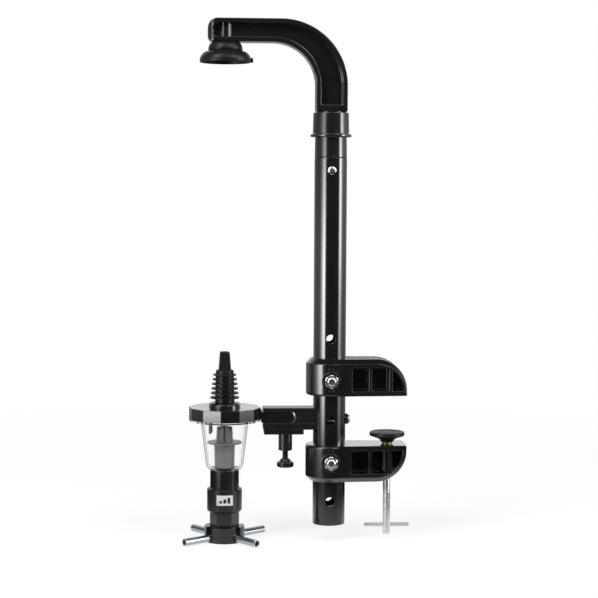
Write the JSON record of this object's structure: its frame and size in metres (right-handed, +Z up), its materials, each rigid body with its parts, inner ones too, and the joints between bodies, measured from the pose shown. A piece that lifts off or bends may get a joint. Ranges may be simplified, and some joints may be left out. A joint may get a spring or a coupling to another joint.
{
  "type": "liquor optic dispenser",
  "caption": "Clamp-on bar column with a sprung swan neck and cup that hold an upturned bottle over a measuring optic, which pours when a glass lifts its prongs.",
  "frame": {"origin": "on the flat clamp face of the upper jaw, straight above the axis of the clamp screw", "axes": "+Z up along the column, +X from the column to the jaw tips, so the optic is on the -X side; +Y away from the side that shows the jaw nuts"},
  "size_m": [0.2246, 0.0832, 0.5108],
  "materials": {
    "gloss_black": "glossy black moulded plastic",
    "black_tube": "glossy black painted steel tube",
    "soft_black": "satin black moulded plastic",
    "black_rubber": "dull dark rubber",
    "zinc": "bright zinc plate",
    "chrome": "polished chrome",
    "brass": "yellow passivated zinc and brass",
    "grey_plastic": "mid-grey moulded plastic",
    "clear_plastic": "clear moulded plastic",
    "white_label": "white printed film"
  },
  "bodies": {
    "column": {"column_tube": "black_tube", "column_bush": "gloss_black", "bush_screw": "zinc", "upper_jaw": "gloss_black", "lower_jaw": "gloss_black", "upper_jaw_bolt": "zinc", "lower_jaw_bolt": "zinc", "upper_jaw_nut": "zinc", "lower_jaw_nut": "zinc", "clamp_nut": "zinc", "bracket_arm": "soft_black", "bracket_insert": "brass", "bracket_bolt": "zinc", "saddle_washer": "soft_black", "screw_plate": "soft_black", "arm_spring": "zinc"},
    "spring_seat": {"spring_seat": "zinc"},
    "arm": {"swan_neck": "gloss_black", "arm_stem": "zinc", "stem_pin": "zinc", "cup_stud": "zinc", "cup_nut": "zinc"},
    "cup": {"bottle_cup": "black_rubber"},
    "pad": {"clamp_pad": "black_rubber", "pad_ferrule": "brass"},
    "clamp_screw": {"clamp_screw": "zinc", "tee_bar": "zinc"},
    "shoe": {"thumb_shoe": "zinc"},
    "thumb_screw": {"thumb_screw": "soft_black", "thumb_knob": "soft_black"},
    "optic": {"optic_cap": "gloss_black", "cap_gasket": "black_rubber", "stopper_seat": "gloss_black", "stopper": "black_rubber", "inlet_spout": "soft_black", "chamber": "clear_plastic", "vent_tube": "grey_plastic", "guide_tube": "grey_plastic", "valve_body": "gloss_black", "valve_sleeve": "soft_black", "sleeve_label": "white_label", "valve_spring": "zinc"},
    "plunger": {"plunger": "soft_black", "valve_seal": "black_rubber", "prong_hub": "soft_black", "prongs": "chrome", "prong_plugs": "black_rubber"}
  },
  "joints": [
    {"name": "arm_lift", "type": "slide", "parent": "column", "child": "spring_seat", "axis": [0, 0, 1], "range_m": [0, 0.06], "stiffness_N_per_m": 200, "springref_m": -0.03, "deforming": ["arm_spring"]},
    {"name": "arm_swing", "type": "hinge", "parent": "spring_seat", "child": "arm", "pos_m": [-0.0575, 0, 0.2], "axis": [0, 0, 1], "continuous": true},
    {"name": "cup_swivel", "type": "hinge", "parent": "arm", "child": "cup", "pos_m": [-0.1605, 0, 0.335], "axis": [0, 0, 1], "continuous": true},
    {"name": "pad_lift", "type": "slide", "parent": "column", "child": "pad", "axis": [0, 0, 1], "range_m": [0, 0.034]},
    {"name": "clamp_turn", "type": "hinge", "parent": "pad", "child": "clamp_screw", "pos_m": [0, 0, -0.09], "axis": [0, 0, 1], "range_deg": [0, 9800]},
    {"name": "shoe_slide", "type": "slide", "parent": "column", "child": "shoe", "axis": [0, 0, 1], "range_m": [-0.004, 0]},
    {"name": "thumb_turn", "type": "hinge", "parent": "shoe", "child": "thumb_screw", "pos_m": [-0.1007, 0, -0.05], "axis": [0, 0, 1], "range_deg": [-1441.5, 0]},
    {"name": "optic_slide", "type": "slide", "parent": "column", "child": "optic", "axis": [1, 0, 0], "range_m": [-0.035, 0.001]},
    {"name": "push_up", "type": "slide", "parent": "optic", "child": "plunger", "axis": [0, 0, 1], "range_m": [0, 0.011], "stiffness_N_per_m": 300, "springref_m": -0.01, "deforming": ["valve_spring"]}
  ],
  "couplings": [
    {"joint": "clamp_turn", "follows": "pad_lift", "rad_per_m": 5026.5},
    {"joint": "thumb_turn", "follows": "shoe_slide", "rad_per_m": 6283.2}
  ]
}
